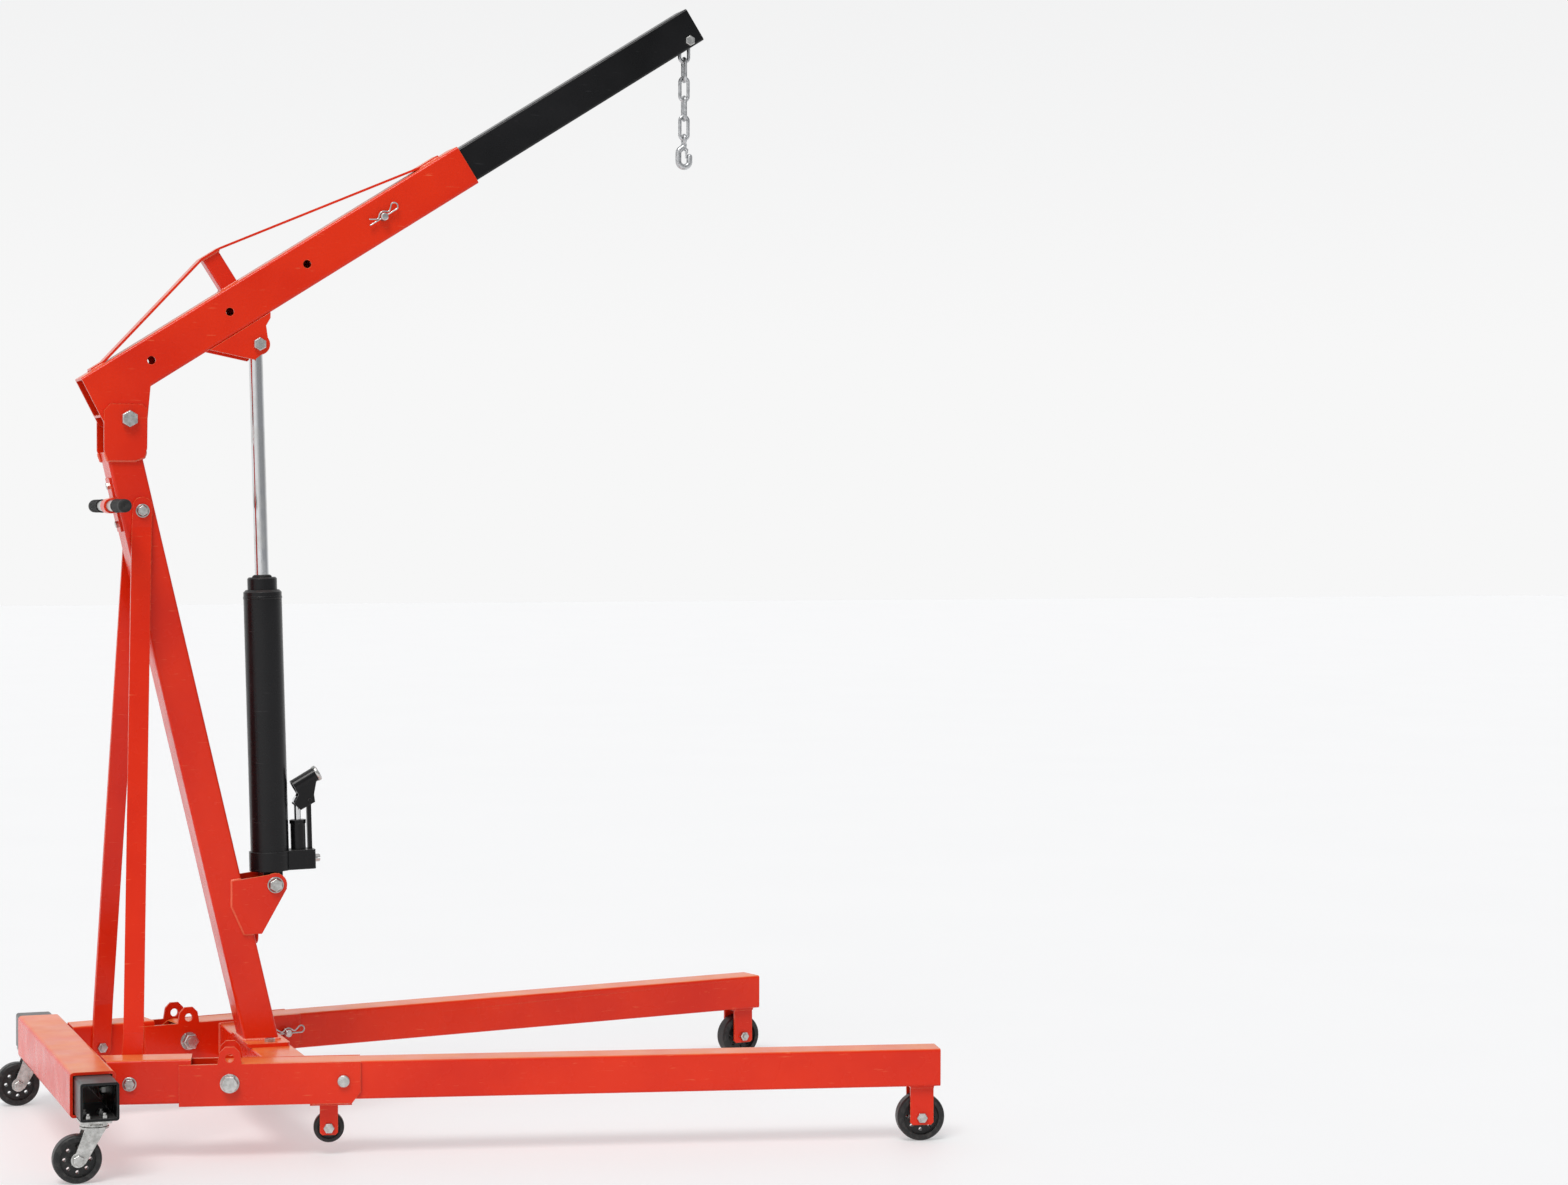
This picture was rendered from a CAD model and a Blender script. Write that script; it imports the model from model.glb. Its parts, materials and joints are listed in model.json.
import json
import math
import random

import bmesh
import bpy
from mathutils import Matrix, Vector


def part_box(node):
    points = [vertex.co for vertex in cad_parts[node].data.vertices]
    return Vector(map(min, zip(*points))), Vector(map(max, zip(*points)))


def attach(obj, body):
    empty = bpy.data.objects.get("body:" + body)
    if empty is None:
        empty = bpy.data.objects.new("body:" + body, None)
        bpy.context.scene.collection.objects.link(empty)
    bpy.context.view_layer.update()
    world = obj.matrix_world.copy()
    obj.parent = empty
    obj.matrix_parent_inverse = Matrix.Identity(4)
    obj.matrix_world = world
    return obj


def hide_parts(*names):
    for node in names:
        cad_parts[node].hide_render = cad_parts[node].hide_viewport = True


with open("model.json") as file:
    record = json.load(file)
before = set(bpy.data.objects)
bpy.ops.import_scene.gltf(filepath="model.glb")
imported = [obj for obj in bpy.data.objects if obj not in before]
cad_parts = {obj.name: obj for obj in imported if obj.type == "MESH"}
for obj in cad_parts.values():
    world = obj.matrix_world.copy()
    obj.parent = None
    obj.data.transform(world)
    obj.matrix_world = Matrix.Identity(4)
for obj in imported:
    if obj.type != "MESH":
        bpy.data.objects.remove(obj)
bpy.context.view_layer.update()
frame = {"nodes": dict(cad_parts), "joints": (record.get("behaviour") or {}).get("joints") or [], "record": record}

# Folding engine hoist, in metres. +X is forward, +Y is the hoist's left, +Z is up.

# --- places on the hoist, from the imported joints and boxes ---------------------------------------
JOINT_AT = {joint["name"]: Vector(joint["pos_m"]) for joint in frame["joints"] if "pos_m" in joint}
SPLAY = math.radians(11.75)
MAST_LEAN = math.radians(13.05)
BOOM_ANGLE = math.radians(32.5)

LEG_PIVOT = JOINT_AT["leg_fold_left"]
BOOM_PIVOT = JOINT_AT["boom_lift"]
RAM_PIVOT = JOINT_AT["ram_swing"]

LEG_HALF = 0.038
CHANNEL_HALF = 0.044
LOCK_PIN_S = 0.223
LOCK_CLIP_OUT = 0.056
BOOM_HALF = 0.044
BOOM_CENTRE = 0.076
BOOM_TOP = BOOM_CENTRE + BOOM_HALF
BOOM_PIN_ALONG = 0.673
BOOM_CLIP_OUT = 0.052
MAST_DEPTH = 0.070
MAST_HALF = 0.045
RAIL_BOLT_S = -0.195
RAIL_BOLT_Z = 0.155
CHANNEL_INNER = 0.039
BRACE_BOLT_X = LEG_PIVOT.x - 0.134
BRACE_BOLT_Z = 1.2836
BRACE_OUTER = 0.053
BRACKET_OUTER = MAST_HALF + 0.0050


def leg_point(side, along, out, z):
    """Point along a leg from its pivot, out from the leg's centre plane, at a height."""
    x = LEG_PIVOT.x + along * math.cos(SPLAY) - out * math.sin(SPLAY)
    y = side * (LEG_PIVOT.y + along * math.sin(SPLAY) + out * math.cos(SPLAY))
    return Vector((x, y, z))


def boom_point(along, up, y):
    """Point along the boom from its pivot and square to it."""
    x = BOOM_PIVOT.x + along * math.cos(BOOM_ANGLE) - up * math.sin(BOOM_ANGLE)
    z = BOOM_PIVOT.z + along * math.sin(BOOM_ANGLE) + up * math.cos(BOOM_ANGLE)
    return Vector((x, y, z))


def ram_direction():
    rod_low, rod_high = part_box("ram_upper_pin")
    return ((rod_low + rod_high) / 2 - RAM_PIVOT).normalized()


# --- shader helpers ------------------------------------------------------------------------------
def set_inputs(tree, shader, values):
    """Sets each named or numbered input to a constant, or links it when the value is a node's output."""
    for name, value in values.items():
        if isinstance(value, bpy.types.NodeSocket):
            tree.links.new(value, shader.inputs[name])
        else:
            shader.inputs[name].default_value = value


def node(tree, kind, values=None, **settings):
    made = tree.nodes.new("ShaderNode" + kind)
    for name, value in settings.items():
        setattr(made, name, value)
    set_inputs(tree, made, values or {})
    return made


def colour(red, green, blue):
    return (red, green, blue, 1.0)


def new_material(name):
    material = bpy.data.materials.new(name)
    material.use_nodes = True
    tree = material.node_tree
    return material, tree, tree.nodes["Principled BSDF"]


def object_space(tree, stretch=(1.0, 1.0, 1.0)):
    place = node(tree, "TexCoord").outputs["Object"]
    return node(tree, "Mapping", {"Vector": place, "Scale": stretch}).outputs["Vector"]


def noise(tree, where, scale, detail=3.0):
    return node(tree, "TexNoise", {"Vector": where, "Scale": scale, "Detail": detail}).outputs[0]


def fade(tree, value, low, high, to_low=0.0, to_high=1.0):
    """Maps low..high of a value onto to_low..to_high, clamped."""
    values = {"Value": value, "From Min": low, "From Max": high, "To Min": to_low, "To Max": to_high}
    return node(tree, "MapRange", values).outputs[0]


def math_node(tree, operation, first, second):
    return node(tree, "Math", {0: first, 1: second}, operation=operation).outputs[0]


def mix(tree, factor, first, second):
    """Mixes two colours by a factor: 0, 6 and 7 are the factor's and the colours' inputs."""
    return node(tree, "Mix", {0: factor, 6: first, 7: second}, data_type="RGBA").outputs[2]


def eased_edges(tree, radius):
    """A normal rounded over the edges, and a mask that is 1 on them."""
    soft = node(tree, "Bevel", {"Radius": radius}, samples=6).outputs["Normal"]
    hard = node(tree, "NewGeometry").outputs["Normal"]
    turn = node(tree, "VectorMath", {0: soft, 1: hard}, operation="DOT_PRODUCT")
    return soft, fade(tree, turn.outputs["Value"], 0.985, 0.82)


def upward(tree):
    """1 on faces that look up."""
    facing = node(tree, "NewGeometry").outputs["Normal"]
    height = node(tree, "SeparateXYZ", {"Vector": facing}).outputs["Z"]
    return fade(tree, height, 0.55, 0.95)


def bump(tree, height, strength, distance, normal=None):
    values = {"Height": height, "Strength": strength, "Distance": distance}
    if normal is not None:
        values["Normal"] = normal
    return node(tree, "Bump", values).outputs["Normal"]


# --- materials -----------------------------------------------------------------------------------
def enamel(name, deep, light, edge, dust, roughness, specular, coat):
    """Sprayed enamel: orange peel, tone that drifts, thin paint on the edges, dust and scuffs."""
    material, tree, shader = new_material(name)
    where = object_space(tree)
    normal, edges = eased_edges(tree, 0.0018)
    drift = fade(tree, noise(tree, where, 4.0, 4.0), 0.36, 0.64)
    paint = mix(tree, drift, deep, light)
    broken = fade(tree, noise(tree, where, 210.0, 4.0), 0.40, 0.62, 0.25, 1.0)
    thin = math_node(tree, "MULTIPLY", edges, broken)
    paint = mix(tree, math_node(tree, "MULTIPLY", thin, 0.75), paint, edge)
    scuff_way = object_space(tree, (1.0, 1.0, 9.0))
    scuffs = fade(tree, noise(tree, scuff_way, 26.0, 8.0), 0.66, 0.74)
    paint = mix(tree, math_node(tree, "MULTIPLY", scuffs, 0.22), paint, edge)
    settled = fade(tree, noise(tree, where, 14.0, 6.0), 0.30, 0.75, 0.45, 1.0)
    settled = math_node(tree, "MULTIPLY", settled, upward(tree))
    paint = mix(tree, math_node(tree, "MULTIPLY", settled, 0.45), paint, dust)
    dull = math_node(tree, "ADD", fade(tree, noise(tree, where, 18.0, 5.0), 0.3, 0.7), scuffs)
    dull = math_node(tree, "ADD", dull, settled)
    peel = noise(tree, where, 430.0, 2.0)
    sag = noise(tree, where, 55.0, 2.0)
    surface = bump(tree, sag, 0.10, 0.0012, normal)
    surface = bump(tree, peel, 0.14, 0.0005, surface)
    set_inputs(tree, shader, {
        "Base Color": paint,
        "Roughness": fade(tree, dull, 0.0, 2.0, roughness, roughness + 0.26),
        "Normal": surface,
        "Specular IOR Level": specular,
        "Coat Weight": coat,
        "Coat Roughness": 0.16,
    })
    return material


def plated(name, dark, bright, rough_low, rough_high, grain, spangle):
    """Plated steel: clouded tone, crystal patches when galvanised, and fine tooling in the surface."""
    material, tree, shader = new_material(name)
    where = object_space(tree)
    normal, edges = eased_edges(tree, 0.0007)
    cloud = fade(tree, noise(tree, where, 95.0, 5.0), 0.3, 0.7)
    crystals = node(tree, "TexVoronoi", {"Vector": where, "Scale": 330.0}).outputs["Color"]
    patch = node(tree, "SeparateColor", {"Color": crystals}).outputs["Red"]
    cloud = math_node(tree, "ADD", cloud, math_node(tree, "MULTIPLY", patch, spangle))
    tone = mix(tree, fade(tree, cloud, 0.0, 1.0 + spangle), dark, bright)
    tone = mix(tree, math_node(tree, "MULTIPLY", edges, 0.5), tone, colour(0.86, 0.86, 0.85))
    grime = fade(tree, noise(tree, where, 260.0, 6.0), 0.60, 0.72)
    tone = mix(tree, math_node(tree, "MULTIPLY", grime, 0.45), tone, colour(0.16, 0.15, 0.13))
    set_inputs(tree, shader, {
        "Base Color": tone,
        "Metallic": 1.0,
        "Roughness": fade(tree, noise(tree, where, 170.0, 4.0), 0.3, 0.7, rough_low, rough_high),
        "Normal": bump(tree, noise(tree, where, grain, 3.0), 0.16, 0.0003, normal),
    })
    return material


def chrome():
    """Hard chrome with faint drawn scratches and a film of oil."""
    material, tree, shader = new_material("chromed_rod")
    along = object_space(tree, (1.0, 1.0, 0.02))
    where = object_space(tree)
    scratches = noise(tree, along, 1500.0, 3.0)
    film = fade(tree, noise(tree, where, 32.0, 5.0), 0.35, 0.7)
    set_inputs(tree, shader, {
        "Base Color": mix(tree, film, colour(0.74, 0.75, 0.77), colour(0.62, 0.62, 0.61)),
        "Metallic": 1.0,
        "Roughness": fade(tree, film, 0.0, 1.0, 0.09, 0.20),
        "Normal": bump(tree, scratches, 0.05, 0.0002),
    })
    return material


def moulded(name, deep, light, roughness, pit_scale, pit_strength):
    """Moulded plastic or rubber: fine pits, worn grey where it rubs, dust on top."""
    material, tree, shader = new_material(name)
    where = object_space(tree)
    normal, edges = eased_edges(tree, 0.0012)
    worn = fade(tree, noise(tree, where, 120.0, 7.0), 0.48, 0.70)
    worn = math_node(tree, "ADD", worn, math_node(tree, "MULTIPLY", edges, 0.5))
    set_inputs(tree, shader, {
        "Base Color": mix(tree, fade(tree, worn, 0.0, 1.4), deep, light),
        "Roughness": fade(tree, worn, 0.0, 1.0, roughness, roughness + 0.2),
        "Normal": bump(tree, noise(tree, where, pit_scale, 3.0), pit_strength, 0.0003, normal),
        "Specular IOR Level": 0.4,
    })
    return material


def floor_material():
    material, tree, shader = new_material("studio_floor")
    where = object_space(tree)
    tone = fade(tree, noise(tree, where, 1.3, 4.0), 0.3, 0.7)
    set_inputs(tree, shader, {
        "Base Color": mix(tree, tone, colour(0.552, 0.555, 0.560), colour(0.562, 0.565, 0.569)),
        "Roughness": 0.62,
        "Emission Color": colour(1.0, 1.0, 1.0),
        "Emission Strength": 0.338,
        "Normal": bump(tree, noise(tree, where, 180.0, 4.0), 0.05, 0.0005),
    })
    return material


def make_materials():
    """One finished material for each of the record's slots."""
    return {
        "red_paint": enamel(
            "red_paint", colour(0.685, 0.019, 0.0026), colour(0.78, 0.030, 0.0040), colour(0.98, 0.36, 0.15),
            colour(1.0, 0.50, 0.13), 0.20, 0.16, 0.28),
        "weld": enamel(
            "red_paint_on_weld", colour(0.72, 0.060, 0.020), colour(0.88, 0.13, 0.05),
            colour(1.0, 0.46, 0.26), colour(1.0, 0.55, 0.35), 0.16, 0.5, 0.6),
        "black_paint": enamel(
            "black_paint", colour(0.0042, 0.0043, 0.0048), colour(0.0085, 0.0085, 0.0095),
            colour(0.12, 0.12, 0.125), colour(0.16, 0.155, 0.15), 0.22, 0.22, 0.12),
        "zinc_plate": plated(
            "zinc_plate", colour(0.42, 0.42, 0.40), colour(0.72, 0.72, 0.70), 0.24, 0.42, 1100.0, 0.0),
        "galvanised_chain": plated(
            "galvanised_chain", colour(0.40, 0.41, 0.42), colour(0.76, 0.77, 0.78), 0.28, 0.50, 700.0, 0.8),
        "chromed_rod": chrome(),
        "wheel_nylon": moulded(
            "wheel_nylon", colour(0.012, 0.012, 0.0125), colour(0.052, 0.050, 0.047), 0.40, 900.0, 0.12),
        "grip_rubber": moulded(
            "grip_rubber", colour(0.012, 0.012, 0.012), colour(0.040, 0.039, 0.038), 0.62, 1400.0, 0.25),
    }


MATERIALS = make_materials()


def finish_cad_nodes():
    """Gives each CAD node the finished material of its slot."""
    slots = {part["node"]: part["material_slot"] for part in frame["record"]["subparts"]}
    for name, piece in frame["nodes"].items():
        piece.data.materials.clear()
        piece.data.materials.append(MATERIALS[slots[name]])


# --- mesh helpers --------------------------------------------------------------------------------
def add_piece(name, shape, body, slot, material=None):
    """Puts a bmesh in the scene as a smooth piece that rides on a body."""
    bmesh.ops.recalc_face_normals(shape, faces=shape.faces)
    mesh = bpy.data.meshes.new(name)
    shape.to_mesh(mesh)
    shape.free()
    for face in mesh.polygons:
        face.use_smooth = True
    piece = bpy.data.objects.new(name, mesh)
    bpy.context.scene.collection.objects.link(piece)
    piece.data.materials.append(MATERIALS[material or slot])
    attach(piece, body)
    return piece


def rectangle(start, end, half):
    """Corners of a rectangle in turn, as (along, out) pairs."""
    return [(start, -half), (end, -half), (end, half), (start, half)]


def even_points(corners, step, closed=False):
    """Points a step apart along a polyline."""
    loop = corners + corners[:1] if closed else corners
    points = []
    for start, end in zip(loop, loop[1:]):
        count = max(1, round((end - start).length / step))
        points += [start.lerp(end, number / count) for number in range(count)]
    return points if closed else points + [loop[-1]]


def curved_points(controls, per_span):
    """Points on a smooth curve through the controls."""
    padded = [controls[0]] + controls + [controls[-1]]
    points = []
    for a, b, c, d in zip(padded, padded[1:], padded[2:], padded[3:]):
        for number in range(per_span):
            t = number / per_span
            blend = (
                2 * b + (c - a) * t + (2 * a - 5 * b + 4 * c - d) * t ** 2
                + (3 * b - a - 3 * c + d) * t ** 3)
            points.append(blend / 2)
    return points + [controls[-1]]


def add_tube(shape, points, radii, sides, closed=False):
    """Adds a round tube to a bmesh, with a radius at each point."""
    count = len(points)
    turns = [2 * math.pi * number / sides for number in range(sides)]
    rings = []
    across = None
    for index, point in enumerate(points):
        before = points[index - 1] if closed or index else point
        after = points[(index + 1) % count] if closed or index + 1 < count else point
        ahead = (after - before).normalized()
        if across is None:
            across = ahead.orthogonal().normalized()
        across = (across - ahead * across.dot(ahead)).normalized()
        up = ahead.cross(across)
        rings.append([
            shape.verts.new(point + (across * math.cos(turn) + up * math.sin(turn)) * radii[index])
            for turn in turns])
    pairs = list(zip(rings, rings[1:]))
    if closed:
        pairs.append((rings[-1], rings[0]))
    for first, second in pairs:
        for number in range(sides):
            other = (number + 1) % sides
            shape.faces.new((first[number], first[other], second[other], second[number]))
    if not closed:
        shape.faces.new(rings[0])
        shape.faces.new(rings[-1])


def add_lathe(shape, profile, centre, axis, sides):
    """Adds a closed turned ring to a bmesh: the profile's points are (along the axis, radius)."""
    turn = axis.to_track_quat("Z", "Y").to_matrix().to_4x4()
    place = Matrix.Translation(centre) @ turn
    rings = []
    for along, radius in profile:
        ring = []
        for number in range(sides):
            angle = 2 * math.pi * number / sides
            local = Vector((radius * math.cos(angle), radius * math.sin(angle), along))
            ring.append(shape.verts.new(place @ local))
        rings.append(ring)
    for first, second in zip(rings, rings[1:] + rings[:1]):
        for number in range(sides):
            other = (number + 1) % sides
            shape.faces.new((first[number], first[other], second[other], second[number]))


# --- weld beads ----------------------------------------------------------------------------------
BEAD_STEP = 0.0013
BEAD_PITCH = 0.0048
BEAD_SIDES = 8
# the welded parts' edges: forward of the leg pivots, and up from the cheek plates' foot or from the floor
CHEEK_FOOT = [(-0.209, 0.017), (-0.203, 0.0), (-0.148, 0.0), (-0.130, 0.007), (-0.1255, 0.020)]
BRACKET_REAR = [(0.0690, 0.5255), (0.048, 0.523), (0.048, 0.470), (0.074, 0.412), (0.094, 0.412)]
# along the boom or a leg from its pivot, and half widths
STRAP_REAR = (-0.010, 0.022)
STRAP_FRONT = (0.798, 0.847)
STRAP_HALF = 0.025
POST_ALONG = (0.307, 0.345)
POST_HALF = 0.019
POST_HEIGHT = 0.0725
FRONT_FORK_ALONG = (1.370, 1.418)
FRONT_FORK_HALF = 0.025
SMALL_FORK_ALONG = (0.160, 0.237)
SMALL_FORK_HALF = 0.0370


def add_bead(shape, corners, radius, closed, chance):
    """Adds one weld bead: a tube along the seam with a ripple for each puddle."""
    points = even_points(corners, BEAD_STEP, closed)
    count = len(points)
    radii = []
    for index in range(count):
        puddle = (index * BEAD_STEP / BEAD_PITCH) % 1.0
        scale = 0.90 + 0.20 * math.sin(math.pi * puddle) + chance.uniform(-0.03, 0.03)
        if not closed:
            ends = min(index, count - 1 - index) * BEAD_STEP / radius
            scale *= min(1.0, 0.35 + 0.45 * ends)
        radii.append(radius * scale)
    wander = [Vector([chance.uniform(-0.00012, 0.00012) for _ in range(3)]) for _ in points]
    add_tube(shape, [point + off for point, off in zip(points, wander)], radii, BEAD_SIDES, closed)


def weld(name, body, seams, radius, closed=False):
    """One piece for all the weld beads of a sub-part."""
    chance = random.Random(name)
    shape = bmesh.new()
    for seam in seams:
        add_bead(shape, seam, radius, closed, chance)
    add_piece(name, shape, body, "red_paint", "weld")


def weld_mast_foot():
    """Bead round the mast where it stands on its foot plate."""
    low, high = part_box("mast_tube")
    rear = high.x - MAST_DEPTH / math.cos(MAST_LEAN)
    corners = [
        Vector((rear, -MAST_HALF, low.z)), Vector((high.x, -MAST_HALF, low.z)),
        Vector((high.x, MAST_HALF, low.z)), Vector((rear, MAST_HALF, low.z)),
    ]
    weld("weld_mast_foot", "base", [corners], 0.0042, closed=True)


def weld_crossmember_ends():
    """Beads down the crossmember's front, rear and top where it meets the leg channels."""
    low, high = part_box("front_crossmember")
    seams = []
    for side in (1, -1):
        foot = []
        for x in (low.x, high.x):
            along = (x - LEG_PIVOT.x + -CHANNEL_HALF * math.sin(SPLAY)) / math.cos(SPLAY)
            y = leg_point(1, along, -CHANNEL_HALF, 0).y
            foot.append(Vector((x, side * y, 0)))
        rear, front = foot
        up_rear = [Vector((rear.x, rear.y, z)) for z in (low.z + 0.004, high.z)]
        down_front = [Vector((front.x, front.y, z)) for z in (high.z, low.z + 0.004)]
        seams.append(up_rear + down_front)
    weld("weld_crossmember_ends", "base", seams, 0.0036)


def weld_rails():
    """Beads where each frame rail meets the rear crossbar."""
    low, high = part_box("rear_crossbar")
    seams = []
    for side in (1, -1):
        for out in (-LEG_HALF - 0.001, LEG_HALF + 0.001):
            along = (high.x - LEG_PIVOT.x + out * math.sin(SPLAY)) / math.cos(SPLAY)
            foot = leg_point(side, along, out, 0)
            seams.append([Vector((high.x, foot.y, z)) for z in (low.z + 0.006, high.z - 0.004)])
    weld("weld_rails", "base", seams, 0.0034)


def weld_head_plates():
    """Beads down the edges and along the foot of each cheek plate at the mast's head."""
    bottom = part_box("mast_head_plates")[0].z
    seams = []
    for side in (1, -1):
        y = side * (MAST_HALF + 0.0012)
        seams.append([Vector((LEG_PIVOT.x + x, y, bottom + up)) for x, up in CHEEK_FOOT])
    weld("weld_head_plates", "base", seams, 0.0032)


def weld_ram_bracket():
    """Beads round the rear of each bracket plate on the mast's sides."""
    seams = []
    for side in (1, -1):
        y = side * (MAST_HALF + 0.0010)
        seams.append([Vector((LEG_PIVOT.x + x, y, z)) for x, z in BRACKET_REAR])
    weld("weld_ram_bracket", "base", seams, 0.0030)


def weld_boom():
    """Beads round the truss strap's ends and the truss post's foot and head."""
    seams = []
    for ends in (STRAP_REAR, STRAP_FRONT):
        for side in (1, -1):
            seams.append([boom_point(along, BOOM_TOP, side * STRAP_HALF) for along in ends])
    seams.append([boom_point(STRAP_FRONT[1], BOOM_TOP, y) for y in (-STRAP_HALF, STRAP_HALF)])
    weld("weld_boom", "boom", seams, 0.0028)
    post = rectangle(*POST_ALONG, POST_HALF)
    foot = [boom_point(along, BOOM_TOP, y) for along, y in post]
    head = [boom_point(along, BOOM_TOP + POST_HEIGHT, y) for along, y in post]
    weld("weld_truss_post", "boom", [foot, head], 0.0026, closed=True)


def weld_front_forks():
    """Bead round each front fork's top plate under the leg."""
    for side, word in ((1, "left"), (-1, "right")):
        top_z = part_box("front_fork_" + word)[1].z
        corners = rectangle(*FRONT_FORK_ALONG, FRONT_FORK_HALF)
        seam = [leg_point(side, along, out, top_z) for along, out in corners]
        weld("weld_front_fork_" + word, "leg_" + word, [seam], 0.0026, closed=True)


def weld_small_forks():
    """Beads along each small fork's top under the leg channel."""
    top_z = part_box("small_wheel_forks")[1].z
    seams = []
    for side in (1, -1):
        for out in (-SMALL_FORK_HALF, SMALL_FORK_HALF):
            seams.append([leg_point(side, along, out, top_z) for along in SMALL_FORK_ALONG])
    weld("weld_small_forks", "base", seams, 0.0024)


# --- spring clips --------------------------------------------------------------------------------
CLIP_WIRE = 0.0016


def clip_path():
    """Hairpin clip in its own plane: straight leg through the pin, round eye, leg bent over the pin."""
    eye_radius = 0.0075
    eye_x = 0.030
    path = [Vector((x, 0.0, 0.0)) for x in (-0.036, -0.024, -0.012, 0.0, 0.012, 0.022)]
    for step in range(0, 10):
        turn = math.radians(-90 + 27 * step)
        x = eye_x + eye_radius * math.cos(turn)
        path.append(Vector((x, eye_radius + eye_radius * math.sin(turn), 0.0008)))
    bent = [
        (0.0155, 0.0050), (0.0105, 0.0062), (0.0060, 0.0096), (0.0, 0.0113), (-0.0060, 0.0096),
        (-0.0105, 0.0052), (-0.0150, 0.0036), (-0.0210, 0.0062), (-0.0310, 0.0120),
    ]
    path += [Vector((x, y, 0.0016)) for x, y in bent]
    return path


def spring_clip(name, body, centre, along, up):
    """Hairpin clip through a pin at its centre."""
    out = along.cross(up)
    controls = [centre + along * point.x + up * point.y + out * point.z for point in clip_path()]
    points = curved_points(controls, 6)
    radii = [CLIP_WIRE] * len(points)
    radii[0] = radii[-1] = CLIP_WIRE * 0.7
    shape = bmesh.new()
    add_tube(shape, points, radii, 12)
    add_piece(name, shape, body, "zinc_plate")


def make_clips():
    boom_along = Vector((math.cos(BOOM_ANGLE), 0, math.sin(BOOM_ANGLE)))
    boom_up = Vector((-math.sin(BOOM_ANGLE), 0, math.cos(BOOM_ANGLE)))
    at = boom_point(BOOM_PIN_ALONG, BOOM_CENTRE, -BOOM_CLIP_OUT)
    spring_clip("boom_pin_clip", "boom", at, boom_along, boom_up)
    for side, word in ((1, "left"), (-1, "right")):
        at = leg_point(side, LOCK_PIN_S, -LOCK_CLIP_OUT, LEG_PIVOT.z)
        along = Vector((math.cos(SPLAY), side * math.sin(SPLAY), 0))
        spring_clip("leg_pin_clip_" + word, "leg_" + word, at, along, Vector((0, 0, 1)))


# --- grips, seals, races and washers -------------------------------------------------------------
GLAND_TOP = 0.635           # up the ram from its lower bolt
BAND_LOW = 0.590


def make_grips():
    """Ribbed push-on grips over the ends of the handlebar."""
    low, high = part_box("handlebar_grips")
    centre_x = (low.x + high.x) / 2
    centre_z = (low.z + high.z) / 2
    outer = (high.z - low.z) / 2
    length = 0.105
    bore = outer - 0.0028
    collar = 0.0070
    rib_pitch = 0.0075
    shape = bmesh.new()
    for side in (1, -1):
        profile = [
            (0.0, bore), (0.0, outer - 0.0012), (0.0012, outer), (collar - 0.0010, outer),
            (collar, outer - 0.0012),
        ]
        along = collar
        while along < length - 0.020:
            profile += [
                (along + 0.0008, outer - 0.0016), (along + 0.0022, outer - 0.0016),
                (along + 0.0034, outer - 0.0004), (along + 0.0060, outer - 0.0004),
            ]
            along += rib_pitch
        profile += [
            (length - 0.010, outer - 0.0006), (length - 0.0030, outer - 0.0006),
            (length - 0.0008, outer - 0.0022), (length, outer - 0.0050), (length, 0.0004),
            (length - 0.0036, 0.0004), (length - 0.0036, bore),
        ]
        inner_end = Vector((centre_x, side * (high.y - length), centre_z))
        add_lathe(shape, profile, inner_end, Vector((0, side, 0)), 40)
    piece = add_piece("ribbed_grips", shape, "base", "grip_rubber")
    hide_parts("handlebar_grips")


def make_ram_trim():
    """Wiper seal on the gland and the rolled band at the top of the cylinder."""
    way = ram_direction()
    seal = bmesh.new()
    rod = 0.0148
    profile = [
        (0.0, rod), (0.0, 0.0200), (0.0022, 0.0200), (0.0042, 0.0175), (0.0052, rod + 0.0006), (0.0044, rod),
    ]
    add_lathe(seal, profile, RAM_PIVOT + way * GLAND_TOP, way, 56)
    add_piece("rod_wiper_seal", seal, "ram", "grip_rubber")
    band = bmesh.new()
    inner, outer, height = 0.0390, 0.0402, 0.0060
    profile = [(0.0, inner), (0.0, outer - 0.0006), (0.0008, outer), (height - 0.0008, outer),
               (height, outer - 0.0006), (height, inner)]
    add_lathe(band, profile, RAM_PIVOT + way * BAND_LOW, way, 72)
    add_piece("cylinder_band", band, "ram", "black_paint")


def make_socket_ring():
    """Rolled ring at the mouth of the pump's handle socket."""
    mount = next(mount for mount in frame["record"]["mounts"] if mount["name"] == "pump_bar_socket")
    way = Vector(mount["axis"])
    mouth = Vector(mount["pos_m"]) + way * (mount["dims"]["length_mm"] / 2000 - 0.008)
    inner, outer, width = 0.0148, 0.0168, 0.0075
    profile = [(0.0, inner), (0.0, outer - 0.0008), (0.0008, outer), (width - 0.0008, outer),
               (width, outer - 0.0008), (width, inner)]
    ring = bmesh.new()
    add_lathe(ring, profile, mouth, way, 48)
    add_piece("socket_ring", ring, "pump_handle", "zinc_plate")


CASTER_PLATE = 0.004
RACE_LOW = 0.1082


def make_caster_races():
    """Dished race cup between each caster's plate and its fork."""
    for side, word in ((1, "left"), (-1, "right")):
        at = JOINT_AT["caster_swivel_" + word]
        cup = bmesh.new()
        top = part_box("caster_plates")[1].z - CASTER_PLATE
        low = RACE_LOW
        profile = [(0.0, 0.0185), (0.0, 0.0262), (0.0015, 0.0272), (top - low - 0.0012, 0.0236),
                   (top - low, 0.0222), (top - low, 0.0185)]
        add_lathe(cup, profile, Vector((at.x, at.y, low)), Vector((0, 0, 1)), 48)
        add_piece("caster_race_" + word, cup, "base", "zinc_plate")


WASHER_THICK = 0.0025
WASHER_RIM = 0.0028
HEX_GAP = 0.0002
HEX_12, HEX_16 = 0.0110, 0.0139     # corner radii of the bolt heads


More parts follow.
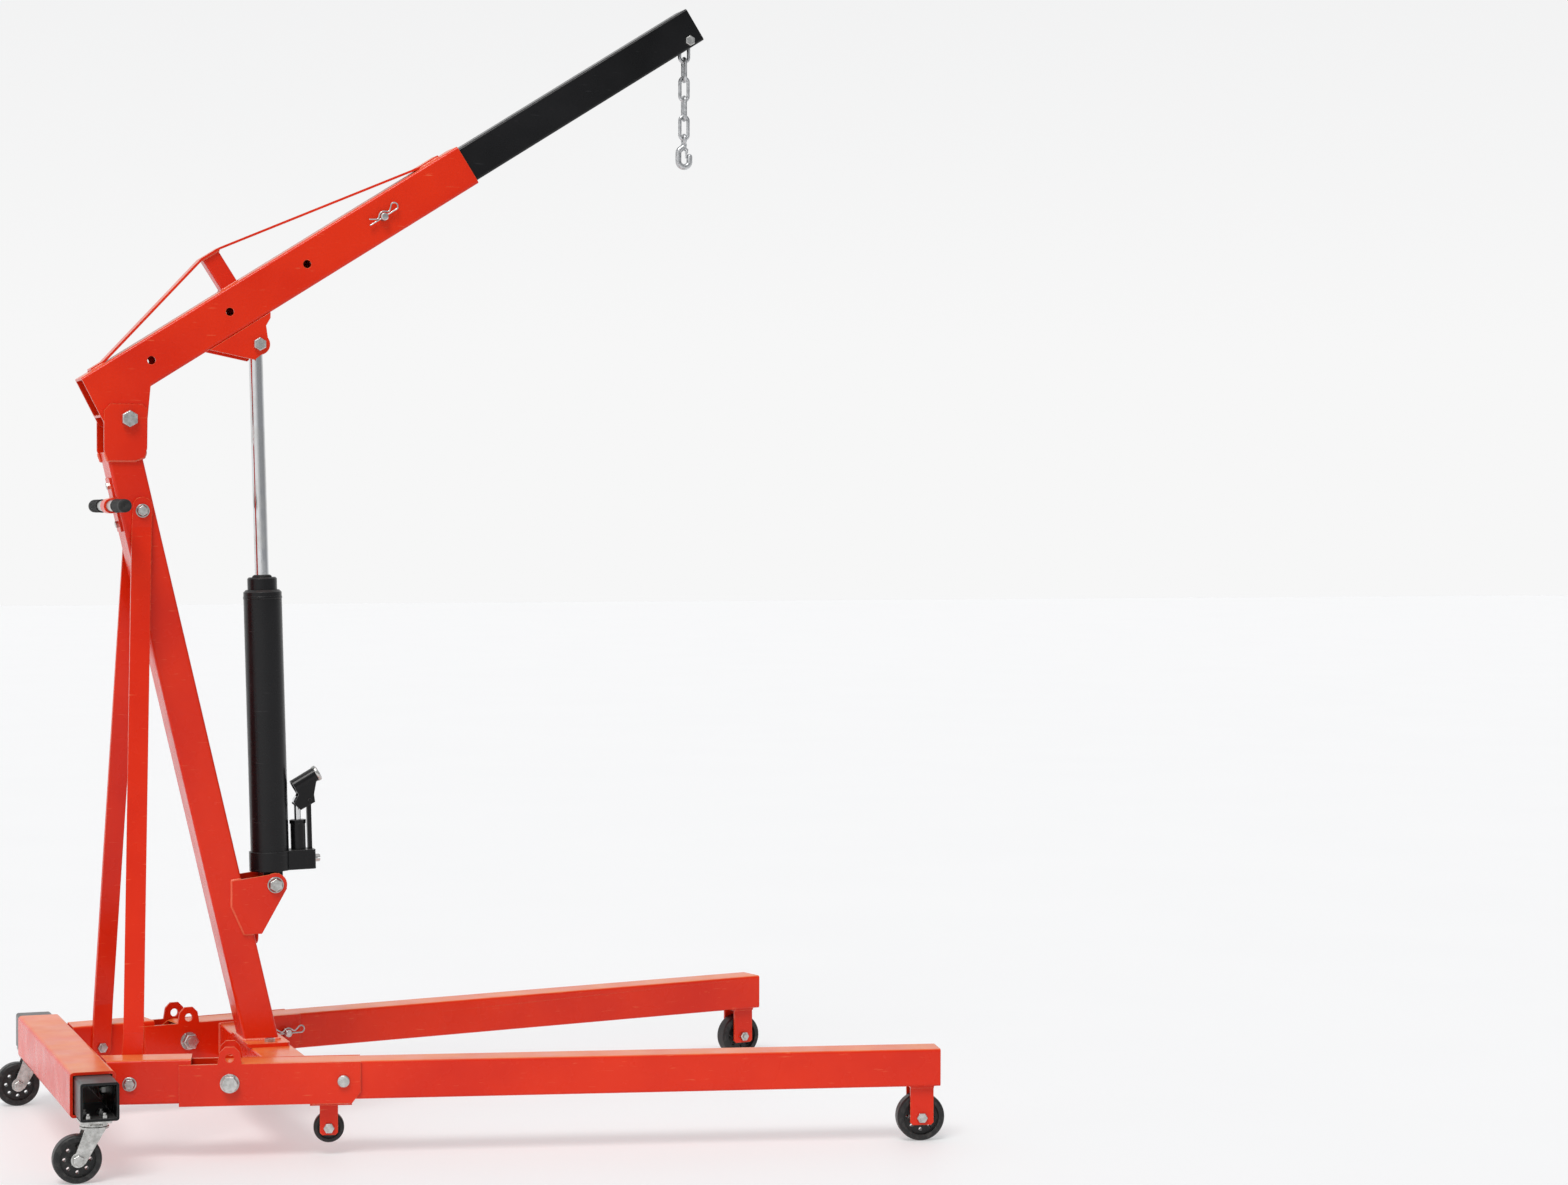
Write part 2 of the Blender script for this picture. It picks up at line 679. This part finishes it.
def make_washers():
    """Washer rims round the bolt heads that clamp the braces, the rails and the ram."""
    seats = []
    for side in (1, -1):
        rail = leg_point(side, RAIL_BOLT_S, CHANNEL_INNER, RAIL_BOLT_Z)
        outboard = (leg_point(side, RAIL_BOLT_S, CHANNEL_HALF, RAIL_BOLT_Z) - rail).normalized()
        seats.append((rail, outboard, HEX_12))
        seats.append((Vector((BRACE_BOLT_X, side * BRACE_OUTER, BRACE_BOLT_Z)), Vector((0, side, 0)), HEX_12))
        seats.append((Vector((RAM_PIVOT.x, side * BRACKET_OUTER, RAM_PIVOT.z)), Vector((0, side, 0)), HEX_16))
    rims = bmesh.new()
    for seat, way, corner in seats:
        inner, outer = corner + HEX_GAP, corner + HEX_GAP + WASHER_RIM
        profile = [(0.0, inner), (0.0, outer), (WASHER_THICK - 0.0005, outer),
                   (WASHER_THICK, outer - 0.0005), (WASHER_THICK, inner)]
        add_lathe(rims, profile, seat, way, 40)
    add_piece("washer_rims", rims, "base", "zinc_plate")


# --- studio --------------------------------------------------------------------------------------
CAMERA_AT = Vector((-1.76166, -6.88672, 1.27884))
CAMERA_YAW = math.radians(20.0387)
CAMERA_PITCH = math.radians(1.33136)
CAMERA_ROLL = math.radians(0.14565)
CAMERA_LENS = 76.857
FLOOR_HALF = 40.0
FLOOR_DROP = 0.0002


def make_camera():
    """Camera where the hoist was photographed from."""
    data = bpy.data.cameras.new("photo_camera")
    data.sensor_width = 36.0
    data.sensor_fit = "HORIZONTAL"
    data.lens = CAMERA_LENS
    data.clip_end = 200.0
    camera = bpy.data.objects.new("photo_camera", data)
    level = math.cos(CAMERA_PITCH)
    ahead = Vector((math.sin(CAMERA_YAW) * level, math.cos(CAMERA_YAW) * level, -math.sin(CAMERA_PITCH)))
    flat_right = Vector((math.cos(CAMERA_YAW), -math.sin(CAMERA_YAW), 0))
    flat_up = flat_right.cross(ahead)
    right = flat_right * math.cos(CAMERA_ROLL) + flat_up * math.sin(CAMERA_ROLL)
    up = flat_up * math.cos(CAMERA_ROLL) - flat_right * math.sin(CAMERA_ROLL)
    turn = Matrix((right, up, -ahead)).transposed().to_4x4()
    camera.matrix_world = Matrix.Translation(CAMERA_AT) @ turn
    bpy.context.scene.collection.objects.link(camera)
    bpy.context.scene.camera = camera


def make_sun():
    """Broad soft key from the camera's left, high over the front of the hoist."""
    data = bpy.data.lights.new("soft_key", "SUN")
    data.energy = 1.55
    data.angle = math.radians(24.0)
    data.color = (1.0, 0.985, 0.965)
    light = bpy.data.objects.new("soft_key", data)
    towards = Vector((0.42, 0.62, -1.15))
    light.rotation_euler = towards.to_track_quat("-Z", "Y").to_euler()
    bpy.context.scene.collection.objects.link(light)


DIM_SIDE = (0.66, -0.75, 0.0)


def make_world():
    """Pale surround, dimmer on one side so that bright metal has something dark to reflect."""
    world = bpy.data.worlds.new("studio_world")
    world.use_nodes = True
    tree = world.node_tree
    direction = node(tree, "TexCoord").outputs["Generated"]
    height = node(tree, "SeparateXYZ", {"Vector": direction}).outputs["Z"]
    climb = fade(tree, height, 0.05, 0.9)
    surround = mix(tree, climb, colour(0.93, 0.93, 0.93), colour(0.62, 0.63, 0.65))
    towards = node(tree, "VectorMath", {0: direction, 1: DIM_SIDE}, operation="DOT_PRODUCT")
    shade = fade(tree, towards.outputs["Value"], 0.10, 0.85)
    surround = mix(tree, shade, surround, colour(0.30, 0.305, 0.315))
    set_inputs(tree, tree.nodes["Background"], {"Color": surround, "Strength": 1.0})
    bpy.context.scene.world = world


def make_floor():
    mesh = bpy.data.meshes.new("studio_floor")
    corners = [(*corner, 0) for corner in rectangle(-FLOOR_HALF, FLOOR_HALF, FLOOR_HALF)]
    mesh.from_pydata(corners, [], [(0, 1, 2, 3)])
    floor = bpy.data.objects.new("studio_floor", mesh)
    floor.location.z = -FLOOR_DROP
    bpy.context.scene.collection.objects.link(floor)
    mesh.materials.append(floor_material())


def main():
    finish_cad_nodes()
    weld_mast_foot()
    weld_crossmember_ends()
    weld_rails()
    weld_head_plates()
    weld_ram_bracket()
    weld_boom()
    weld_front_forks()
    weld_small_forks()
    make_clips()
    make_grips()
    make_ram_trim()
    make_socket_ring()
    make_caster_races()
    make_washers()
    make_camera()
    make_sun()
    make_world()
    make_floor()
    bpy.context.scene.view_settings.view_transform = "Standard"


main()
